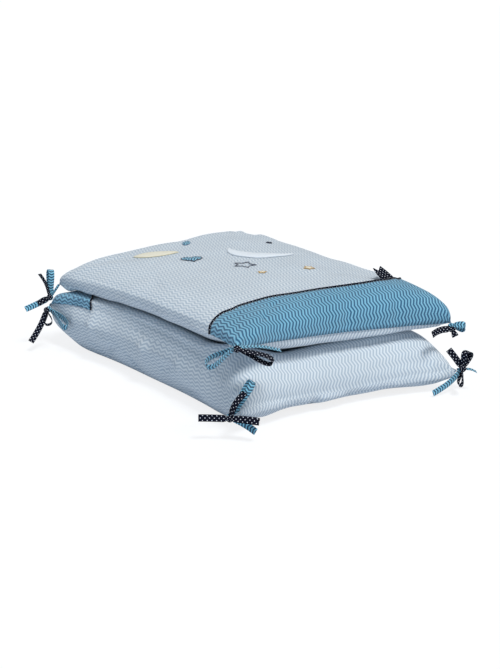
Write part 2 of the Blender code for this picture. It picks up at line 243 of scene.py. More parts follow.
def pad_faces(pad, u, v):
    """Points of a pad's top and underside at (u, v), and how far each is from pressing on the
    other pad or on the floor."""
    xs, ys, seams, crowns = zip(*pad["corners"])
    drawn_u = u * (1 - pad["drawn_in"][0] * (1 - v * v))
    drawn_v = v * (1 - pad["drawn_in"][1] * (1 - u * u))
    x, y = mix_corners(xs, drawn_u, drawn_v), mix_corners(ys, drawn_u, drawn_v)
    left, right_, near, far = pad["rise"]
    seam = (mix_corners(seams, u, v)
            + (1 - np.abs(v) ** pad["rise_power"]) * ((1 - u) * left + (1 + u) * right_) / 2
            + (1 - u * u) * ((1 - v) * near + (1 + v) * far) / 2)
    top_swell = swell(u, v, pad["top_turn"], pad["top_fullness"])
    under_swell = swell(u, v, pad["under_turn"], pad["under_fullness"])
    top = seam + mix_corners(crowns, u, v) * top_swell
    contact = contact_height(x, y)
    if pad is LOWER:
        blend = CONTACT_BLEND * np.clip(CONTACT_BLEND_GROWTH * top_swell, SMALL, 1)
        free = np.clip((contact - top) / PRESS_FADE + PRESS_LEFT, 0, 1)
        top = np.maximum(-soft_max(-top, GAP / 2 - contact, blend), seam)
        under = seam * (1 - under_swell)
        under_free = np.clip(under / PRESS_FADE, 0, 1)
    else:
        lifted = np.maximum(smooth_ramp(x, *LEFT_CLEAR), smooth_ramp(y, *NEAR_CLEAR))
        bed = (contact + GAP + LIFT_CLEARANCE * lifted
               + PANEL_BED * smooth_ramp(y, PANEL_BED_FROM, PANEL_BED_TO))
        blend = CONTACT_BLEND * np.clip(CONTACT_BLEND_GROWTH * under_swell, SMALL, 1)
        belly = seam - UPPER_BELLY * under_swell
        free = np.ones_like(u)
        under_free = np.clip((belly - bed) / PRESS_FADE + PRESS_LEFT, 0, 1)
        under = np.minimum(soft_max(belly, bed, blend), seam)
    shift = np.array([*STACK_CENTRE, 0])
    return ((np.stack([x, y, top], -1) + shift, free),
            (np.stack([x, y, under], -1) + shift, under_free))


print("top middle of the upper pad", pad_faces(UPPER, np.zeros(1), np.zeros(1))[0][0].round())

# %% Normals and lengths


def units(vectors):
    """The same vectors, each of length 1."""
    vectors = np.asarray(vectors, float)
    return vectors / np.maximum(np.linalg.norm(vectors, axis=-1, keepdims=True), 1e-9)


def outward(points):
    """Unit normals of a grid of points."""
    return units(np.cross(np.gradient(points, axis=0), np.gradient(points, axis=1)))


def run_length(points, axis=0):
    """Distance along lines of points, from 0 at their start."""
    step = np.linalg.norm(np.diff(points, axis=axis), axis=-1)
    return np.insert(np.cumsum(step, axis=axis), 0, 0, axis=axis)


def cloth_lengths(points):
    """Distance along the cloth from the middle of a face, across and along it."""
    totals = [run_length(points, axis) for axis in (0, 1)]
    return np.stack([total - np.take(total, [total.shape[axis] // 2], axis=axis)
                     for axis, total in enumerate(totals)], -1)


def between(grid, i, j):
    """Value of a grid at fractional rows i and columns j: a weighted mean of four points."""
    i0, j0 = i.astype(int), j.astype(int)
    a, b = (part.reshape(part.shape + (1,) * (grid.ndim - 2)) for part in (i - i0, j - j0))
    return ((grid[i0, j0] * (1 - b) + grid[i0, j0 + 1] * b) * (1 - a)
            + (grid[i0 + 1, j0] * (1 - b) + grid[i0 + 1, j0 + 1] * b) * a)


spaced = [np.sin(np.linspace(-1, 1, count + 1) * pi / 2) for count in (ACROSS, ALONG)]
U, V = np.meshgrid(*spaced, indexing="ij")
print("pad grid", U.shape)

# %% [markdown]
# ## Wrinkles from a cloth simulation
#
# A filled cushion wrinkles because its cloth was cut flat: near the corners there is more cloth
# than the swollen form needs. So each face is simulated by itself. Its seam is held, its springs
# have the rest lengths of the flat cut, gravity is off, and pressure from the filling pushes it
# outwards. Only the wrinkles are kept: the move along the normals, averaged over 4 mm, less its
# average over 22 mm, so the fitted form stays as it is. An average is a matrix product,
# low = K(s) move K(t), where K's rows are bell curves of the distance along the cloth.

# %% Simulate a face
SIM_CELLS = (96, 136)
SIM_FRAMES, SIM_PRESSURE, SIM_SLACK, SIM_CAP = 20, 4.0, 1.01, 2.8
# The grid's lines are spaced partly by sines and partly evenly. START_NOISE sets the folds going.
BY_SINES, EVENLY, START_NOISE = 0.45, 0.55, 0.3
FINE, COARSE, LAID_OVER = 4.0, 22.0, 0.65


def bell_average(field, lengths, width):
    kernels = [np.exp(-((line[:, None] - line[None]) / width) ** 2 / 2) for line in lengths]
    across, along = [kernel / kernel.sum(axis=1, keepdims=True) for kernel in kernels]
    return across @ field @ along.T


def inflate(points, sign, cut, seed):
    """Points of a face after the simulation; cut is the flat cloth's own coordinates."""
    n, m = points.shape[:2]
    index = np.arange(n * m).reshape(n, m)
    quads = grid_quads(index)[:, ::sign]
    noise = np.random.default_rng(seed).uniform(-START_NOISE, START_NOISE, (n, m, 1))
    start = points + outward(points) * noise
    start[[0, -1]], start[:, [0, -1]] = points[[0, -1]], points[:, [0, -1]]
    mesh = bpy.data.meshes.new("face")
    mesh.from_pydata(start.reshape(-1, 3) * MM, [], quads.tolist())
    face = link("face", mesh)
    face.shape_key_add(name="Basis")
    rest = face.shape_key_add(name="flat cut")
    flat = np.zeros((n * m, 3), np.float32)
    flat[:, :2] = cut.reshape(-1, 2) * MM * SIM_SLACK
    rest.data.foreach_set("co", flat.ravel())
    rest.value = 0
    seam = np.unique(np.concatenate([index[0], index[-1], index[:, 0], index[:, -1]]))
    face.vertex_groups.new(name="seam").add(seam.tolist(), 1.0, "REPLACE")
    cloth = face.modifiers.new("cloth", "CLOTH")
    settings = cloth.settings
    settings.vertex_group_mass, settings.rest_shape_key = "seam", rest
    settings.tension_stiffness = settings.compression_stiffness = 15
    settings.shear_stiffness, settings.bending_stiffness = 5, 0.1
    settings.use_pressure, settings.uniform_pressure_force = True, SIM_PRESSURE
    settings.effector_weights.gravity = 0
    cloth.collision_settings.use_collision = False
    cloth.point_cache.frame_end = SIM_FRAMES
    for number in range(1, SIM_FRAMES + 1):
        scene.frame_set(number)
    final = face.evaluated_get(bpy.context.evaluated_depsgraph_get())
    moved = np.empty(n * m * 3, np.float32)
    final.to_mesh().vertices.foreach_get("co", moved)
    final.to_mesh_clear()
    bpy.data.objects.remove(face)
    scene.frame_set(1)
    return moved.reshape(n, m, 3) / MM


def wrinkles(pad, side, seed):
    """Wrinkle heights over a face, at the fine grid's U and V. The simulation folds two corners
    more than the others, so it is laid over itself turned left to right."""
    lines = []
    for cells in SIM_CELLS:
        even = np.linspace(-1, 1, cells + 1)
        lines.append(BY_SINES * np.sin(even * pi / 2) + EVENLY * even)
    points = pad_faces(pad, *np.meshgrid(*lines, indexing="ij"))[side][0]
    sign = 1 - 2 * side
    cloth = cloth_lengths(points)
    lengths = [cloth[:, SIM_CELLS[1] // 2, 0], cloth[SIM_CELLS[0] // 2, :, 1]]
    moved = inflate(points, sign, np.stack(np.meshgrid(*lengths, indexing="ij"), -1), seed)
    move = np.sum((moved - points) * outward(points), axis=-1) * sign
    height = bell_average(move, lengths, FINE) - bell_average(move, lengths, COARSE)
    height = SIM_CAP * np.tanh((LAID_OVER * height + LAID_OVER * height[::-1]) / SIM_CAP)
    i, j = [np.clip(np.interp(where, line, np.arange(len(line))), 0, len(line) - 1.001)
            for where, line in zip((U, V), lines)]
    return between(height, i, j)


def grid_quads(index):
    cells = [index[:-1, :-1], index[1:, :-1], index[1:, 1:], index[:-1, 1:]]
    return np.stack(cells, -1).reshape(-1, 4)


simulated = {}
for number, (face, pad, side) in enumerate([("upper_top", UPPER, 0), ("upper_under", UPPER, 1),
                                            ("lower_top", LOWER, 0), ("lower_under", LOWER, 1)]):
    simulated[face] = wrinkles(pad, side, number)
    print(face, "wrinkles up to", np.abs(simulated[face]).max().round(1), "mm")

# %% [markdown]
# ## Puckers and folds
#
# To these wrinkles each face adds, along its normals,
# - puckers at the seam: narrow creases square to it, -(1 - |sin(pi t / L)|)^2.5 at t along it,
#   which fade as exp(-d / 15) with the distance d from it, and a dip beside it,
# - slow lumps of the filling,
# - the listed folds, troughs and ridges h exp(-(distance / width)^2) along a line.
#
# A simulation can't be told where the photographed cushions fold, so those folds are a table.

# %% Relief
# from (across, along), to, half width, height: in the cloth's own millimetres
FOLDS = {
    "upper_top": (
        ((-92, -222), (-132, -251), 5, -2.4), ((-132, -251), (-185, -284), 5, -2.4),
        ((-160, -225), (-192, -268), 5, -1.8), ((-120, -232), (-165, -272), 10, 1.6),
        ((15, -262), (12, -290), 9, -2.2), ((104, -266), (102, -298), 8, -2.0),
        ((-120, 96), (-170, -10), 10, -1.6), ((-138, 60), (-176, -100), 9, 1.4),
        ((101, -15), (73, -150), 12, -1.5), ((60, 40), (40, -120), 14, 1.2),
    ),
    "upper_under": (
        ((-192, 292), (-188, 255), 14, 8.5), ((-186, 255), (-180, 190), 16, 7.0),
        ((-180, 190), (-178, 120), 14, 5.0),
    ),
    "lower_top": (
        ((-184, 284), (-165, 258), 18, 5.0), ((150, -288), (60, -278), 10, -2.5),
    ),
    "lower_under": (
        ((-232, 205), (-228, 148), 11, 4.0), ((-228, 148), (-226, -7), 13, 8.0),
        ((-226, -7), (-231, -100), 13, 8.0), ((-231, -100), (-236, -190), 11, 6.0),
        ((-222, 170), (-220, -90), 4, -2.5), ((-212, 125), (-206, 92), 9, 4.0),
        ((-210, 84), (-184, 121), 5, -5.0), ((-205, 54), (-206, 2), 8, 4.0),
        ((-204, 62), (-168, 36), 5, -6.5), ((-200, 172), (-174, 138), 6, -4.0),
        ((-204, -52), (-222, -96), 6, -4.5), ((-176, -108), (-192, -160), 6, -4.0),
        ((-205, -120), (-200, -190), 14, 3.0), ((10, -258), (90, -262), 6, -3.0),
        ((-46, -266), (-46, -240), 7, -3.5), ((-46, -262), (-150, -270), 8, -2.0),
    ),
}
# The roll of cloth under the upper pad's near seam: height, place below the seam, half width
NEAR_BELLY = 5.0, 13.0, 9.0
PUCKER_ROWS = (31, 0.6), (19, 0.4)
# What starts at the seam rises over the first distance from it and fades over the second.
PUCKER_REACH, DIP_REACH, FOLD_START = (4, 15), (3, 9), 6
# The simulated wrinkles are calmer, by this share, from here to there along the upper top.
CALM, CALM_FROM, CALM_TO = 0.6, -120, -190
# Lumps are the sum of so many waves. No trough is deeper than this share of the pad's thickness.
LUMP_WAVES, DEEPEST = 9, 0.25
# The seed of a face's sines, the depth of its puckers, the height of its lumps, the seam's dip
FACES = {
    "upper_top": (11, 2.2, 0.7, 1.6),
    "upper_under": (12, 2.2, 0.8, 1.6),
    "lower_top": (13, 2.2, 0.9, 3.0),
    "lower_under": (14, 2.6, 1.2, 3.0),
}


print("folds", {face: len(rows) for face, rows in FOLDS.items()})

# %% Add up the relief


def puckers(t, rng):
    """Narrow creases at uneven distances along t, from 0 down to about -1."""
    total = np.zeros_like(t)
    for spacing, share in PUCKER_ROWS:
        drift = 0.9 * np.sin(2 * pi * t / rng.uniform(90, 130) + rng.uniform(0, 6))
        crease = 1 - np.abs(np.sin(pi * t / spacing + rng.uniform(0, pi) + drift))
        depth = 0.55 + 0.45 * np.sin(2 * pi * t / rng.uniform(60, 100) + rng.uniform(0, 6))
        total -= share * depth * crease ** 2.5
    return total


def from_seam(distance, start, fade):
    """(1 - exp(-d / start)) exp(-d / fade): none on the seam, most beside it."""
    return (1 - np.exp(-distance / start)) * np.exp(-distance / fade)


def line_distance(cloth, start, end):
    """Distance of each point from the line between two points."""
    start, step = np.array(start, float), np.subtract(end, start).astype(float)
    share = np.clip(((cloth - start) @ step) / (step @ step), 0, 1)
    return np.linalg.norm(cloth - start - share[..., None] * step, axis=-1)


def relief(face, cloth):
    """How far each point of a face stands out, in millimetres."""
    seed, pucker, lump, dip = FACES[face]
    rng = np.random.default_rng(seed)
    across, along = cloth[..., 0], cloth[..., 1]
    edges = [(across - across[:1], along), (across[-1:] - across, along),
             (along - along[:, :1], across), (along[:, -1:] - along, across)]
    inside = 1 - np.exp(-np.min([distance for distance, _ in edges], axis=0) / FOLD_START)
    total = simulated[face] * inside
    if face == "upper_top":
        total *= 1 - CALM * smooth_ramp(along, CALM_FROM, CALM_TO)
    for distance, t in edges:
        total += pucker * from_seam(distance, *PUCKER_REACH) * puckers(t, rng)
        total -= dip * from_seam(distance, *DIP_REACH)
    if face == "upper_under":
        height, below, width = NEAR_BELLY
        total += height * np.exp(-((along - along[:, :1] - below) / width) ** 2)
    for _ in range(LUMP_WAVES):
        heading = rng.uniform(0, pi)
        t = across * cos(heading) + along * sin(heading)
        phase = 2 * pi * t / rng.uniform(70, 170) + rng.uniform(0, 2 * pi)
        total += lump / 3 * np.sin(phase)
    for start, end, width, height in FOLDS[face]:
        total += height * np.exp(-(line_distance(cloth, start, end) / width) ** 2) * inside
    return total


def pad_surface(level, pad):
    """The finished top and underside of a pad, and their cloth lengths."""
    (top, top_free), (under, under_free) = pad_faces(pad, U, V)
    thickness = top[..., 2] - under[..., 2]
    faces = {}
    for face, sign, points, free in (("top", 1, top, top_free), ("under", -1, under, under_free)):
        cloth = cloth_lengths(points)
        rise = np.maximum(relief(f"{level}_{face}", cloth) * free, -DEEPEST * thickness)
        rise[[0, -1], :] = 0
        rise[:, [0, -1]] = 0
        faces[face] = points + outward(points) * sign * rise[..., None], cloth
    return faces


pads = {"upper": pad_surface("upper", UPPER), "lower": pad_surface("lower", LOWER)}
print("pads", {level: faces["top"][0][..., 2].max().round(1) for level, faces in pads.items()})

# %% [markdown]
# ## Mesh makers
#
# A grid of points [i, j] becomes quads whose outside is on the side of di x dj. A thin sheet is
# such a grid, the same grid moved out by its thickness, and the rim between them.

# %% Mesh makers
WELD = 2e-7


def mesh_piece(name, points, quads, cloth, material, slot, replaces=None):
    """A mesh object from points in millimetres, quads of their indices and a cloth coordinate, in
    millimetres, for every corner of every quad."""
    mesh = bpy.data.meshes.new(name)
    mesh.vertices.add(len(points))
    mesh.vertices.foreach_set("co", (np.asarray(points) * MM).astype(np.float32).ravel())
    mesh.loops.add(quads.size)
    mesh.loops.foreach_set("vertex_index", quads.ravel().astype(np.int32))
    mesh.polygons.add(len(quads))
    mesh.polygons.foreach_set("loop_start", np.arange(0, quads.size, 4, dtype=np.int32))
    mesh.update()
    layer = mesh.uv_layers.new(name="cloth")
    layer.data.foreach_set("uv", (np.asarray(cloth) * MM).astype(np.float32).ravel())
    bm = bmesh.new()
    bm.from_mesh(mesh)
    bmesh.ops.remove_doubles(bm, verts=bm.verts, dist=WELD)
    bm.to_mesh(mesh)
    bm.free()
    mesh.validate()
    mesh.shade_smooth()
    mesh.materials.append(material)
    obj = link(name, mesh)
    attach(obj, "root")
    if replaces:
        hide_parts(replaces)
    return obj


def sheet_parts(points, normals, thickness, cloth, open_sides=(), inner=0.0):
    """Vertices, quads and quad-corner cloth coordinates of a thin sheet over a grid of points.

    open_sides names the sides that get no rim, because they meet another side or a point.
    """
    n, m = points.shape[:2]
    upper = np.arange(n * m).reshape(n, m)
    lower = upper + n * m
    vertices = np.concatenate([(points + normals * (inner + thickness)).reshape(-1, 3),
                               (points + normals * inner).reshape(-1, 3)])
    quads = [grid_quads(upper), grid_quads(lower)[:, ::-1]]
    sides = {"j0": (upper[:, 0], lower[:, 0]), "j1": (upper[::-1, -1], lower[::-1, -1]),
             "i0": (upper[0, ::-1], lower[0, ::-1]), "i1": (upper[-1], lower[-1])}
    for side, (top, low) in sides.items():
        if side not in open_sides:
            quads.append(np.stack([top[:-1], low[:-1], low[1:], top[1:]], -1))
    quads = np.concatenate(quads)
    flat = np.concatenate([cloth.reshape(-1, 2)] * 2)
    return vertices, quads, flat[quads]


def joined(parts):
    """Several (vertices, quads, cloth) as one."""
    vertices, quads, cloth, count = [], [], [], 0
    for part in parts:
        vertices.append(part[0])
        quads.append(part[1] + count)
        cloth.append(part[2].reshape(-1, 2))
        count += len(part[0])
    return np.concatenate(vertices), np.concatenate(quads), np.concatenate(cloth)


def sample(grid, u, v):
    """Value of a pad grid at (u, v): the grid's lines are spaced by sines."""
    i = np.clip((np.arcsin(np.clip(u, -1, 1)) * 2 / pi + 1) / 2 * ACROSS, 0, ACROSS - 1e-6)
    j = np.clip((np.arcsin(np.clip(v, -1, 1)) * 2 / pi + 1) / 2 * ALONG, 0, ALONG - 1e-6)
    return between(grid, i, j)


def cell_areas(points):
    """Area vectors of a grid's cells."""
    corner = points[:-1, :-1]
    return np.cross(points[1:, :-1] - corner, points[:-1, 1:] - corner)


def along_outline(corners, count):
    """A number of points along the line through some corners, as many on each side."""
    corners = np.array(corners, float)
    share, at = np.linspace(0, len(corners) - 1, count), np.arange(len(corners))
    return np.stack([np.interp(share, at, column) for column in corners.T], -1)


print("mesh makers ready")

# %% [markdown]
# ## Cloths
#
# Every cloth is printed cotton. Its pattern is worked out from the piece's own cloth coordinates,
# which run in metres along the weave, so the print bends and folds with the surface. Arithmetic on
# a Socket adds the Math nodes of the formula.

# %% Shader maths
THREAD_SPACING, STITCH_SPACING = 0.0007, 0.0009


class Socket:
    """A shader value; arithmetic on it adds Math nodes."""

    def __init__(self, cloth, output):
        self.cloth, self.output = cloth, output

    def math(self, operation, *others):
        return self.cloth.node("ShaderNodeMath", {"operation": operation}, [self, *others])

    def __add__(self, other):
        return self.math("ADD", other)

    def __mul__(self, other):
        return self.math("MULTIPLY", other)

    def __sub__(self, other):
        return self.math("SUBTRACT", other)

    def __rsub__(self, other):
        return self.cloth.node("ShaderNodeMath", {"operation": "SUBTRACT"}, [other, self])

    def __truediv__(self, other):
        return self.math("DIVIDE", other)

    def __abs__(self):
        return self.math("ABSOLUTE")

    __radd__, __rmul__ = __add__, __mul__

    def part(self):
        """What is left after the whole numbers: the saw from 0 to 1."""
        return self.math("FRACT")

    def step(self, low, high):
        """0 below low, 1 above high, and a smooth rise between."""
        return self.cloth.node("ShaderNodeMapRange", {"interpolation_type": "SMOOTHSTEP"},
                               {"Value": self, "From Min": low, "From Max": high})


class Cloth:
    """A cloth's material: a Principled shader and the nodes that feed it."""

    def __init__(self, name, roughness, sheen):
        self.material = bpy.data.materials.new(name)
        self.material.use_nodes = True
        self.tree = self.material.node_tree
        self.shader = self.tree.nodes["Principled BSDF"]
        self.shader.inputs["Roughness"].default_value = roughness
        self.shader.inputs["Sheen Weight"].default_value = sheen
        self.shader.inputs["Sheen Roughness"].default_value = 0.6
        self.shader.inputs["Specular IOR Level"].default_value = 0.25

    def node(self, kind, settings=None, inputs=(), output=0):
        """A new node with its settings made and its sockets filled or linked."""
        node = self.tree.nodes.new(kind)
        for key, value in (settings or {}).items():
            setattr(node, key, value)
        for key, value in inputs.items() if isinstance(inputs, dict) else enumerate(inputs):
            if isinstance(value, Socket):
                self.tree.links.new(value.output, node.inputs[key])
            else:
                node.inputs[key].default_value = value
        return Socket(self, node.outputs[output])

    def feed(self, name, value):
        self.tree.links.new(value.output, self.shader.inputs[name])

    def coordinates(self):
        """Cloth coordinates across and along the weave, in metres."""
        uv = self.node("ShaderNodeUVMap", {"uv_map": "cloth"})
        return [self.node("ShaderNodeSeparateXYZ", inputs=[uv], output=axis) for axis in (0, 1)]

    def mix(self, factor, first, second):
        """The first colour where factor is 0, the second where it is 1."""
        pair = [item if isinstance(item, Socket) else (*item, 1) for item in (first, second)]
        # sockets 6 and 7 are the node's two colours, and output 2 is the mixed one
        inputs = {0: factor, 6: pair[0], 7: pair[1]}
        return self.node("ShaderNodeMix", {"data_type": "RGBA"}, inputs, output=2)

    def clouds(self, scale, detail=3.0):
        """Soft noise, 0..1, that stands still in the object's space."""
        inputs = {"Vector": self.node("ShaderNodeTexCoord", output=3)}
        inputs.update({"Scale": scale, "Detail": detail})
        return self.node("ShaderNodeTexNoise", inputs=inputs)

    def weave(self, across, along):
        """Crossing threads as bump: the product of two waves, with a little uneven yarn."""
        turns = 2 * pi / THREAD_SPACING
        threads = (across * turns).math("SINE") * (along * turns).math("SINE")
        height = threads * 0.5 + self.clouds(420, 2.0) * 1.2
        self.feed("Normal", self.node("ShaderNodeBump", inputs={
            "Strength": 0.25, "Distance": 0.0004, "Height": height}))


def srgb(*colour):
    """Linear colour of 8-bit display values."""
    return tuple(round(((c / 255 + 0.055) / 1.055) ** 2.4, 4) for c in colour)


print("shader maths ready")

# %% [markdown]
# The zigzag print: a triangle wave of height A and period P along the cloth shifts stripes of
# pitch D across it, stripe = frac((x + 2 A |frac(y / P) - 1/2|) / D).

# %% Zigzag and dotted cloth
ZIGZAG_PITCH, ZIGZAG_PERIOD, ZIGZAG_HEIGHT = 0.0058, 0.0162, 0.0037


def darker(colour, share):
    return [value * share for value in colour]


def zigzag_cloth(name, light, dark, size=1.0):
    """The zigzag print, with patches that are a little darker, as if worn."""
    cloth = Cloth(name, roughness=0.75, sheen=0.25)
    x, y = cloth.coordinates()
    wave_ = abs((y / (ZIGZAG_PERIOD * size)).part() - 0.5) * (2 * ZIGZAG_HEIGHT * size)
    stripe = abs(((x + wave_) / (ZIGZAG_PITCH * size)).part() - 0.5)
    worn = cloth.clouds(14).step(0.3, 0.75)
    lines, ground = (cloth.mix(worn, tone, darker(tone, share)) for tone, share in
                     ((dark, 0.95), (light, 0.94)))
    cloth.feed("Base Color", cloth.mix(stripe.step(0.2, 0.3), lines, ground))
    cloth.weave(x, y)
    return cloth.material


def dotted_cloth(name, spacing, ground=srgb(15, 18, 32), dot=srgb(226, 230, 238), radius=0.00065):
    """Dots on a staggered grid: the nearest of two square grids, half a step apart."""
    cloth = Cloth(name, roughness=0.85, sheen=0.0)
    cloth.shader.inputs["Specular IOR Level"].default_value = 0.08
    x, y = cloth.coordinates()
    masks = []
    for shift in (0.0, 0.5):
        a = (x / spacing + shift).part() - 0.5
        b = (y / spacing + shift).part() - 0.5
        masks.append((a * a + b * b).math("SQRT"))
    nearest = masks[0].math("MINIMUM", masks[1])
    mask = 1 - nearest.step(radius / spacing * 0.8, radius / spacing * 1.2)
    cloth.feed("Base Color", cloth.mix(mask, ground, dot))
    cloth.weave(x, y)
    return cloth.material


def thread_cloth(name, colour):
    """Stitched thread: fine ridges across the line of stitches, with painted shade that darkens its
    colour in the grooves between them.
    """
    cloth = Cloth(name, roughness=0.55, sheen=0.4)
    ridge_with_painted_groove_shade = abs((cloth.coordinates()[1] / STITCH_SPACING).part() - 0.5) * 2
    # painted shade: the thread's colour is darker in the grooves, where the bump is lowest
    cloth.feed("Base Color", cloth.mix(ridge_with_painted_groove_shade, darker(colour, 0.82), colour))
    cloth.feed("Normal", cloth.node("ShaderNodeBump", inputs={
        "Strength": 0.6, "Distance": 0.0003, "Height": ridge_with_painted_groove_shade}))
    return cloth.material


CLOTHS = {
    "light": zigzag_cloth("light_zigzag", srgb(216, 224, 230), srgb(170, 185, 200)),
    "blue": zigzag_cloth("blue_zigzag", srgb(122, 180, 207), srgb(36, 92, 126)),
    "navy": dotted_cloth("navy_dotted", 0.0068),
    "blue_ribbon": zigzag_cloth("blue_ribbon_cloth", srgb(128, 192, 218), srgb(10, 62, 92), 0.8),
    "navy_ribbon": dotted_cloth("navy_ribbon_cloth", 0.0066),
    "cream": zigzag_cloth("cream_cotton", srgb(236, 232, 214), srgb(230, 224, 204), 0.3),
    "pale": zigzag_cloth("pale_cotton", srgb(236, 242, 247), srgb(220, 229, 239), 0.3),
    **{name: thread_cloth(name, srgb(*colour)) for name, colour in {
        "cream_thread": (226, 218, 188), "pale_thread": (214, 224, 234),
        "navy_thread": (36, 44, 74), "blue_thread": (70, 120, 156),
        "gold_thread": (206, 160, 66)}.items()},
}
print("cloths", sorted(CLOTHS))

# %% [markdown]
# ## The pads
#
# Each pad is two rectangles of cloth, sewn all round and filled. Its two faces share the seam.

# %% Pads


def pad_piece(level):
    (top, top_cloth), (under, under_cloth) = pads[level]["top"], pads[level]["under"]
    index = np.arange(top[..., 0].size).reshape(top.shape[:2])
    quads = np.concatenate([grid_quads(index), grid_quads(index + index.size)[:, ::-1]])
    # the underside's cloth coordinates start elsewhere, so its print doesn't repeat the top's
    cloth = np.concatenate([top_cloth.reshape(-1, 2), under_cloth.reshape(-1, 2) + (1000, 0)])
    points = np.concatenate([top.reshape(-1, 3), under.reshape(-1, 3)])
    pad = mesh_piece(f"{level}_pad", points, quads, cloth[quads].reshape(-1, 2), CLOTHS["light"],
                     "light_zigzag_cloth", f"pad_{level}")
    return pad


for level in pads:
    print(level, "pad:", len(pad_piece(level).data.vertices), "points")

# %% [markdown]
# ## Blue panels, piping and tab
#
# A panel lies over one end of each pad's top, from the seam to a wavy edge v = wave(u), which the
# dotted piping follows. It is sampled from the finished pad, so it lies in all its folds.

# %% Panel lines
PANEL_ROWS, PANEL_THICKNESS, PANEL_CLEAR = 52, 1.2, 0.4


def panel_lines(level, extra=0.0):
    """u and v over a panel, rows from the seam to the edge; the lower pad is turned half round."""
    u = U[:, 0]
    wave = np.convolve(np.pad(np.interp(u, *zip(*WAVE)), 3, "edge"), np.ones(7) / 7, "valid")
    edge = np.arcsin(wave + extra) * 2 / pi
    share = np.linspace(0, 1, PANEL_ROWS + 1)
    v = np.sin((-1 + np.outer(edge + 1, share)) * pi / 2)
    u = np.repeat(u[:, None], PANEL_ROWS + 1, axis=1)
    return (u, v) if level == "upper" else (-u[::-1, ::-1], -v[::-1, ::-1])


def panel_piece(level):
    top, cloth = pads[level]["top"]
    u, v = panel_lines(level)
    points = sample(top, u, v)
    parts = sheet_parts(points, outward(points), PANEL_THICKNESS, sample(cloth, u, v) + (2000, 0),
                        inner=PANEL_CLEAR)
    piece = mesh_piece(f"{level}_wave_panel", *parts, CLOTHS["blue"], "blue_zigzag_cloth",
                       f"wave_panel_{level}")
    area = np.linalg.norm(cell_areas(points), axis=-1).sum() * MM * MM
    return piece, area


for level in pads:
    print(level, "panel area", round(panel_piece(level)[1], 4))

# %% Piping
PIPING_RADIUS, PIPING_CLEAR = 1.6, 0.5


def tube_parts(line, radius, normals, flat=1.0, around=12, closed=False):
    """A tube along a line: centre + r (cos a side + flat sin a normal), with capped ends.

    Its cloth coordinates run round it and along it.
    """
    step = np.roll(line, -1, 0) - np.roll(line, 1, 0) if closed else np.gradient(line, axis=0)
    along = units(step)
    side = units(np.cross(along, normals))
    normals = np.cross(side, along)
    if closed:
        line, side, normals = (np.concatenate([part, part[:1]]) for part in (line, side, normals))
    angle = np.linspace(0, 2 * pi, around + 1)
    rings = (line[:, None] + radius * (np.cos(angle)[:, None] * side[:, None]
                                       + flat * np.sin(angle)[:, None] * normals[:, None]))
    length = run_length(line)
    if not closed:
        ends = [np.repeat(point[None, None], around + 1, 1) for point in (line[0], line[-1])]
        rings = np.concatenate([ends[0], rings, ends[1]])
        length = np.concatenate([length[:1], length, length[-1:]])
    index = np.arange(rings[..., 0].size).reshape(rings.shape[:2])
    cloth = np.stack(np.broadcast_arrays(angle * radius, length[:, None]), -1).reshape(-1, 2)
    quads = grid_quads(index)
    return rings.reshape(-1, 3), quads, cloth[quads]


def piping_line(level):
    """Centre of the piping: beside the panel's edge, clear of the panel and the pad."""
    top = pads[level]["top"][0]
    lines = [sample(top, *panel_lines(level, extra)) for extra in (0.0, 0.02)]
    row = -1 if level == "upper" else 0
    edge, beyond = lines[0][:, row], lines[1][:, row]
    normal = outward(lines[0])[:, row]
    return edge + (units(beyond - edge) + normal) * (PIPING_RADIUS + PIPING_CLEAR), normal


for level in pads:
    line, normal = piping_line(level)
    mesh_piece(f"{level}_piping", *tube_parts(line, PIPING_RADIUS, normal), CLOTHS["navy"],
               "navy_dotted_cloth", f"piping_{level}")
    print(level, "piping", round(run_length(line)[-1]), "mm")

# %% Tab
TAB_OUTLINE = ((-13, 0), (-19, 8), (-22, 19), (-10, 14), (-2, 21), (6, 12), (16, 0))
TAB_CENTRE, TAB_AT, TAB_LEAN, TAB_CLEARANCE, TAB_THICKNESS = (-4, 7), 0.72, 42.0, 1.2, 1.5


def tab_parts():
    """The tab's outline filled by rings round a middle point; its tips curl up from the pad."""
    line, normals = piping_line("upper")
    at = round(TAB_AT * ACROSS)
    along = units(line[at + 4] - line[at - 4])
    away = units(np.cross(normals[at], along))
    lean = radians(TAB_LEAN)
    rising = away * cos(lean) + normals[at] * sin(lean)
    face = np.cross(along, rising)
    foot = line[at] + away * (PIPING_RADIUS + TAB_CLEARANCE) + normals[at] * TAB_THICKNESS / 2
    edge = along_outline(TAB_OUTLINE + TAB_OUTLINE[:1], 8 * len(TAB_OUTLINE) + 1)
    middle = np.array(TAB_CENTRE, float)
    ring = np.linspace(0.0, 1, 9)[None, :, None]
    flat = middle + (edge[:, None] - middle) * ring
    curl = 1.2 * (flat[..., 1] / 28) ** 2 + 0.6 * np.sin(flat[..., 0] / 6)
    points = (foot + flat[..., :1] * along + flat[..., 1:] * rising + curl[..., None] * face)
    return sheet_parts(points, np.broadcast_to(face, points.shape), TAB_THICKNESS, flat,
                       ("j0", "i0", "i1"), inner=-TAB_THICKNESS / 2)


tab = mesh_piece("dotted_tab_cloth", *tab_parts(), CLOTHS["navy"], "navy_dotted_cloth",
                 "dotted_tab")
print("tab", len(tab.data.vertices), "points")

# %% [markdown]
# ## Ribbon bows
#
# At each corner a blue and a navy ribbon are tied in a bow. A loop's centre line from its knot is
# reach sin(pi t) + opening w sin(2 pi t) sin(pi t)^r, a free end's reach t + curl sin(pi t). The
# ribbon is pinched and pleated where it enters the knot. A flat strap keeps its width when it
# bends, so it is modelled directly: a simulation would need the knot's friction to hold.

# %% Bow tables
RIBBON_WIDTH, RIBBON_THICKNESS, RIBBON_PINCH, PINCH_LENGTH = 10.0, 0.7, 4.4, 10.0
KNOT_RADII, BURIED = (3.5, 5.2, 5.0), 2.0
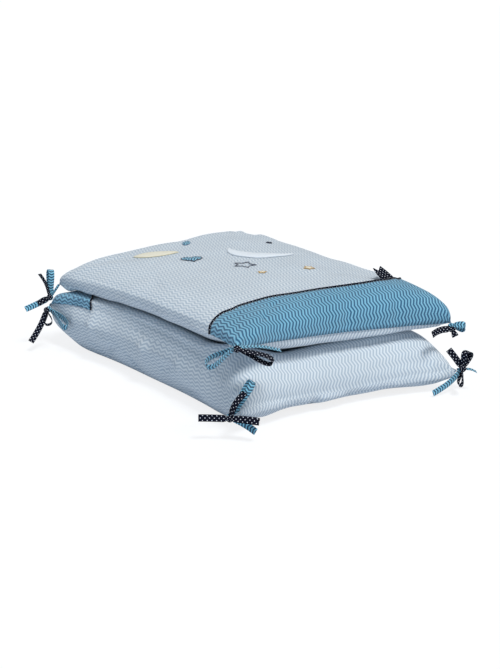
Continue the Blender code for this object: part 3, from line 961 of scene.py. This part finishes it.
# pad, corner, knot from the seam's corner, axis, gap at the corner,
# strands (colour, kind, reach, opening or curl, roll)
BOWS = {
    "upper_front": (UPPER, 0, (-5, -8, 4), (-0.55, -0.83, 0.0), 1.5, (
        ("blue", "loop", (-46, 5, -20), 15, 27), ("blue", "end", (53, -27, -6), 4, 85),
        ("navy", "loop", (37, -32, -17), 12, 73))),
    "lower_front": (LOWER, 0, (-19, -4, -7), (-0.55, -0.83, 0.0), 0.5, (
        ("blue", "loop", (29, -12, 50), 12, -5), ("blue", "end", (27, -24, -20), -5, 8),
        ("navy", "end", (-36, 24, 1), 4, -16), ("navy", "end", (18, -11, 38), 6, 45),
        ("navy", "loop", (30, -28, -2), 6, 29))),
    "upper_right": (UPPER, 1, (-7, -10, -1), (-0.30, -0.75, -0.60), 1.6, (
        ("blue", "loop", (18, -12, -3), 15, 44), ("navy", "end", (-42, -4, -1), 1, -11),
        ("navy", "end", (2, -6, -10), 0, 22))),
    "lower_right": (LOWER, 1, (5, -7, 3), (-0.56, -0.77, 0.30), 0.5, (
        ("blue", "end", (18, -12, -5), 2, 89), ("blue", "end", (-56, 1, -30), -6, 0),
        ("navy", "loop", (10, 0, 26), 24, 66), ("navy", "end", (-9, 24, 26), 3, -22),
        ("navy", "loop", (-17, -14, -20), 7, -11))),
    "upper_left": (UPPER, 3, (-18, -2, -20), (-0.50, -0.80, 0.30), 0.5, (
        ("blue", "loop", (7, 11, 45), 14, 66), ("blue", "end", (-40, 14, -18), 4, -20),
        ("navy", "end", (-11, 13, 39), 3, 34), ("navy", "end", (-19, 6, -10), 2, 9))),
    "lower_left": (LOWER, 3, (-11, -18, -3), (-0.75, -0.50, 0.0), 2.6, (
        ("blue", "loop", (5, -54, -20), 12, -5), ("navy", "end", (-30, 2, -51), 4, -28),
        ("navy", "loop", (-5, -15, -21), 12, -6))),
    "upper_back": (UPPER, 2, (6, 7, -2), (0.60, 0.80, 0.0), 0.5, (
        ("blue", "loop", (27, -21, 6), 15, 40), ("blue", "end", (-28, 24, -24), 4, 60),
        ("navy", "loop", (-24, 20, 16), 12, 40), ("navy", "end", (12, -8, -36), 4, 90))),
    "lower_back": (LOWER, 2, (6, 7, -2), (0.60, 0.80, 0.0), 1.4, (
        ("blue", "loop", (26, -20, 8), 14, 40), ("blue", "end", (-28, 24, -24), 4, 60),
        ("navy", "loop", (-22, 22, 14), 12, 40), ("navy", "end", (13, -8, -34), 4, 90))),
}
print("bows", list(BOWS))

# %% Strands, ribbons and knots
RIBBON_STEPS, RIBBON_ACROSS = 48, 8
LOOP_WIDTH, LOOP_ROUNDNESS = 0.62, 0.8


def strand_directions(reach, roll):
    """Unit directions of a strand: where it opens or curls, and along its ribbon's width."""
    side = units(np.cross(reach, (0, 0, 1)))
    lift = np.cross(side, units(reach))
    a = radians(roll)
    return side * cos(a) + lift * sin(a), lift * cos(a) - side * sin(a)


def strand_path(axis, kind, reach, opening, roll):
    """Centre line of a loop or a free end, and its width direction."""
    reach = np.array(reach, float)
    opens, width = strand_directions(reach, roll)
    start = BURIED / np.linalg.norm(reach)
    if kind == "loop":
        first = asin(start) / pi
        t = np.linspace(first, 1 - first, RIBBON_STEPS + 1)
        out = np.sin(pi * t)
        sideways = LOOP_WIDTH * np.sin(2 * pi * t) * out ** LOOP_ROUNDNESS
    else:
        t = np.linspace(0, 1, RIBBON_STEPS + 1)
        out, sideways = start * (1 - t) + t, np.sin(pi * t)
    along_axis = reach @ axis
    path = (np.outer(out, reach - axis * along_axis) + np.outer(out ** 2, axis * along_axis)
            + np.outer(sideways, opens * opening))
    return path, width


def ribbon_parts(path, width, start_length, pinched=False):
    """A ribbon along a path. Across it s runs -1..1, and a pleat folds it where it is pinched."""
    along = units(np.gradient(path, axis=0))
    width = units(width - along * (along @ width)[:, None])
    face = np.cross(along, width)
    free = np.clip(np.linalg.norm(path, axis=1) / PINCH_LENGTH, 0, 0 if pinched else 1)
    free = (free * free * (3 - 2 * free))[:, None]
    s = np.linspace(-1, 1, RIBBON_ACROSS + 1)[None, :]
    half = (RIBBON_PINCH + (RIBBON_WIDTH - RIBBON_PINCH) * free) / 2
    pleat = (1 - free) * 0.8 * np.cos(2.5 * pi * s) + 0.25 * np.sin(pi * s) * free
    points = (path[:, None] + width[:, None] * (half * s)[..., None]
              + face[:, None] * pleat[..., None])
    length = run_length(path) + start_length
    cloth = np.stack(np.broadcast_arrays(length[:, None], s * RIBBON_WIDTH / 2), -1)
    return sheet_parts(points, outward(points), RIBBON_THICKNESS, cloth,
                       inner=-RIBBON_THICKNESS / 2), length[-1]


def knot_parts(knot, axis, seed):
    """One ribbon's half of the knot: an ellipsoid whose wrap is drawn into soft pleats."""
    polar, turn = np.meshgrid(np.linspace(0, pi, 17), np.linspace(0, 2 * pi, 33),
                              indexing="ij")
    pleats = 1 + 0.05 * np.sin(polar) * np.cos(5 * polar + 0.7 * np.cos(turn + seed))
    pleats -= 0.03 * np.sin(polar) * np.cos(2 * turn)
    across = units(np.cross(axis, (0, 0, 1)))
    rows = np.stack([axis, across, np.cross(axis, across)])
    ball = np.stack([np.cos(polar), np.sin(polar) * np.cos(turn), np.sin(polar) * np.sin(turn)], -1)
    points = knot + (ball * pleats[..., None] * KNOT_RADII) @ rows
    quads = grid_quads(np.arange(polar.size).reshape(polar.shape))
    cloth = np.stack([turn * 5, polar * 5], -1).reshape(-1, 2)
    return points.reshape(-1, 3), quads, cloth[quads]


print("knot", 2 * KNOT_RADII[0], "mm long for each ribbon")

# %% Tie the bows


def bow(name):
    pad, corner, offset, axis, corner_gap, rows = BOWS[name]
    axis = units(axis)
    x, y, seam, _ = pad["corners"][corner]
    blue_knot = np.array([x, y, seam]) + offset + (*STACK_CENTRE, 0)
    knots = {"blue": blue_knot, "navy": blue_knot + axis * (2 * KNOT_RADII[0] + GAP)}
    for colour, knot in knots.items():
        parts, length = [knot_parts(knot, axis, len(name))], 0.0
        strands = [strand_path(axis, *row[1:]) + (False,) for row in rows if row[0] == colour]
        if colour == "blue":
            reach = -np.array(offset) * (1 - corner_gap / np.linalg.norm(offset))
            t = np.linspace(BURIED / np.linalg.norm(offset), 1, 9)
            strands.append((np.outer(t, reach), strand_directions(reach, 0)[1], True))
        for path, width, pinched in strands:
            part, length = ribbon_parts(path, width, length, pinched)
            parts.append((part[0] + knot, *part[1:]))
        piece = mesh_piece(f"{colour}_ribbon_{name}", *joined(parts), CLOTHS[f"{colour}_ribbon"],
                           f"{colour}_ribbon", f"tie_{colour}_{name}")
        round(length * MM, 3)
        print(piece.name, "length", round(length), "mm")


for name in BOWS:
    bow(name)

# %% [markdown]
# ## Sewn-on motifs
#
# The upper pad carries a plain design of cloth patches, each edged with a line of thread: a
# crescent moon, a heart, a leaf, and small stars. A patch is filled by rings round its middle, so
# its outline is given as points on a closed line.

# %% Motif outlines
TURN = np.linspace(0, 2 * pi, 121)
# A motif's rings round its middle, and the rungs along a moon
RINGS, RUNGS, PATCH_THICKNESS, PATCH_CLEAR = 13, 61, 0.5, 0.4


def heart(size):
    """x = sin^3 t, y = (13 cos t - 5 cos 2t - 2 cos 3t - cos 4t) / 16."""
    x = np.sin(TURN) ** 3
    y = (13 * np.cos(TURN) - 5 * np.cos(2 * TURN) - 2 * np.cos(3 * TURN) - np.cos(4 * TURN)) / 16
    return np.stack([x, y + 0.1], -1) * size


def star(size, points=5, depth=0.5):
    """A star: the radius runs straight between its tips and its notches."""
    angle = np.linspace(0, 2 * pi, 2 * points + 1)
    radius = np.where(np.arange(2 * points + 1) % 2 == 0, 1.0, depth) * size
    return along_outline(np.stack([radius * np.sin(angle), radius * np.cos(angle)], -1), len(TURN))


def leaf(size):
    """Pointed at both ends: y = cos t, x = 0.42 sin t |sin t|^0.3, in units of its half length."""
    return np.stack([0.42 * np.sin(TURN) * np.abs(np.sin(TURN)) ** 0.3, np.cos(TURN)], -1) * size


def circle(size):
    return np.stack([np.sin(TURN), np.cos(TURN)], -1) * size


def crescent(size):
    """A disc's left rim, and back along a flatter arc: a moon whose horns are a little blunt."""
    t = np.linspace(0, 1, RUNGS)
    angle, back = pi * (0.04 + 0.92 * t), pi * t[::-1]
    outer = np.stack([-np.sin(angle), np.cos(angle)], -1)
    inner = np.stack([-0.36 * np.sin(back) - 0.08, 0.94 * np.cos(back)], -1)
    return np.concatenate([outer, inner[:-1], outer[:1]]) * size


# name: outline, patch cloth, thread, (across, along) on the pad, turn, half width of the thread's
# line, puff of the patch
MOTIFS = {
    "moon": (crescent(58), "pale", "pale_thread", (62, 40), 38, 1.2, 2.4),
    "heart": (heart(17), "blue_ribbon", "navy_thread", (-62, 60), -20, 0.9, 1.4),
    "leaf": (leaf(36), "cream", "cream_thread", (-84, 140), 55, 1.0, 1.6),
    "small_leaf": (leaf(15), "blue_ribbon", "blue_thread", (-6, 172), -40, 0.8, 0.8),
    "star": (star(9), "cream", "gold_thread", (48, -112), 10, 0.8, 0.6),
    "second_star": (star(7), "cream", "gold_thread", (-22, -84), 30, 0.7, 0.5),
    "dot": (circle(5.2), "navy", "navy_thread", (112, 92), 0, 0.6, 0.3),
    "outline_star": (star(19, depth=0.55), None, "navy_thread", (-18, -28), 20, 0.8, 0.0),
}
print("motifs", sorted(MOTIFS))

# %% Sew on the motifs


def on_pad(flat, centre):
    """Points and normals of the upper pad's top at cloth coordinates centre + flat, found by
    inverting the cloth lengths of the grid lines nearest to the centre."""
    top, cloth = pads["upper"]["top"]
    u_line, v_line = U[:, 0], V[0]
    i, j = ACROSS // 2, ALONG // 2
    for _ in range(3):
        u0 = np.interp(centre[0], cloth[:, j, 0], u_line)
        v0 = np.interp(centre[1], cloth[i, :, 1], v_line)
        i, j = np.abs(u_line - u0).argmin(), np.abs(v_line - v0).argmin()
    u = np.interp(centre[0] + flat[..., 0], cloth[:, j, 0], u_line)
    v = np.interp(centre[1] + flat[..., 1], cloth[i, :, 1], v_line)
    normals = outward(top)
    return sample(top, u, v), sample(normals, u, v)


def motif(name):
    """A patch with its line of thread, or the thread alone."""
    outline, cloth_name, thread, centre, degrees, line, puff = MOTIFS[name]
    a = radians(degrees)
    spin = np.array([[cos(a), sin(a)], [-sin(a), cos(a)]])
    ring = np.linspace(0, 1, RINGS)[None, :]
    if name == "moon":
        # the two long sides of the crescent pair up: rungs across it instead of rings
        left, right_ = outline[:RUNGS], outline[RUNGS:][::-1]
        right_ = np.concatenate([left[:1], right_])[:RUNGS]
        flat = left[:, None] * (1 - ring[..., None]) + right_[:, None] * ring[..., None]
        taper = np.sqrt(np.sin(pi * np.linspace(0, 1, RUNGS)))[:, None]
        bulge, sides = puff * np.sqrt(np.clip(4 * ring * (1 - ring) * taper, 0, 1)), ()
    else:
        middle = outline[:-1].mean(axis=0)
        flat = middle + (outline[:, None] - middle) * ring[..., None]
        bulge = puff * np.sqrt(1 - ring ** 2) * np.ones((len(outline), 1))
        sides = "j0", "i0", "i1"
    edge, edge_normals = on_pad(outline[:-1] @ spin, centre)
    tube = tube_parts(edge + edge_normals, line, edge_normals, flat=0.7, around=8, closed=True)
    stitches = mesh_piece(f"{name}_thread", *tube, CLOTHS[thread], "light_zigzag_cloth")
    if cloth_name is None:
        return stitches
    points, normals = on_pad(flat @ spin, centre)
    points = points + normals * bulge[..., None]
    if np.sum(cell_areas(points) * normals[:-1, :-1]) < 0:
        points, normals, flat = points[::-1], normals[::-1], flat[::-1]
    parts = sheet_parts(points, normals, PATCH_THICKNESS, flat + centre, sides, inner=PATCH_CLEAR)
    patch = mesh_piece(f"{name}_patch", *parts, CLOTHS[cloth_name], "light_zigzag_cloth")
    return patch


for name in MOTIFS:
    print(motif(name).name, "sewn on")
